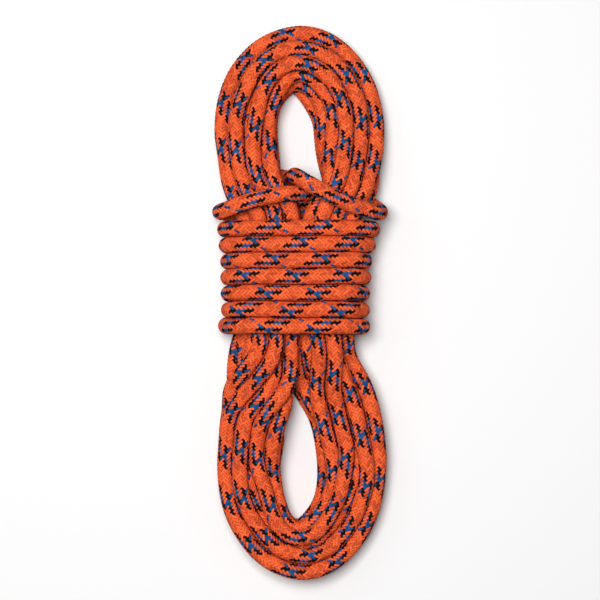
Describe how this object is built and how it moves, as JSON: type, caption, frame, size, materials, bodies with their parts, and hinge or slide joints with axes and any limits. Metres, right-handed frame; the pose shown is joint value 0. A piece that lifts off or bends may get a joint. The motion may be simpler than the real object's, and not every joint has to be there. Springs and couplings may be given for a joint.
{
  "type": "climbing rope hank",
  "caption": "Climbing rope with an orange, blue and black braided sheath, folded into a hank, wrapped round the middle and locked through its upper loops.",
  "frame": {"origin": "centre of the hank's outline, on the surface that it lies on", "axes": "+Y along the hank towards its upper loops, where the rope is locked; +X across the hank, to the right seen from its front; +Z out of its front"},
  "size_m": [0.1083, 0.3438, 0.0607],
  "materials": {
    "rope_sheath": "braided polyamide sheath, orange with blue and black tracer yarns, satin",
    "rope_core": "undyed twisted polyamide core strands",
    "end_sleeve": "shrunk black sleeve, satin",
    "melted_tip": "fibres melted together, smooth and dark"
  },
  "bodies": {
    "root": {"back_strands": "rope_sheath", "middle_strands": "rope_sheath", "front_strands": "rope_sheath", "wrap_1": "rope_sheath", "wrap_2": "rope_sheath", "wrap_3": "rope_sheath", "wrap_4": "rope_sheath", "wrap_5": "rope_sheath", "wrap_6": "rope_sheath", "wrap_7": "rope_sheath", "locking_turn_left": "rope_sheath", "locking_turn_right": "rope_sheath", "tail": "rope_sheath", "tail_end_sheath": "rope_sheath", "tail_end_sleeve": "end_sleeve", "tail_end_melted_tip": "melted_tip", "tail_end_core_strand_1": "rope_core", "tail_end_core_strand_2": "rope_core", "tail_end_core_strand_3": "rope_core", "tail_end_core_strand_4": "rope_core", "tail_end_core_strand_5": "rope_core", "tail_end_core_strand_6": "rope_core", "tail_end_core_strand_7": "rope_core", "first_end_sheath": "rope_sheath", "first_end_sleeve": "end_sleeve", "first_end_melted_tip": "melted_tip", "first_end_core_strand_1": "rope_core", "first_end_core_strand_2": "rope_core", "first_end_core_strand_3": "rope_core", "first_end_core_strand_4": "rope_core", "first_end_core_strand_5": "rope_core", "first_end_core_strand_6": "rope_core", "first_end_core_strand_7": "rope_core"}
  },
  "joints": []
}
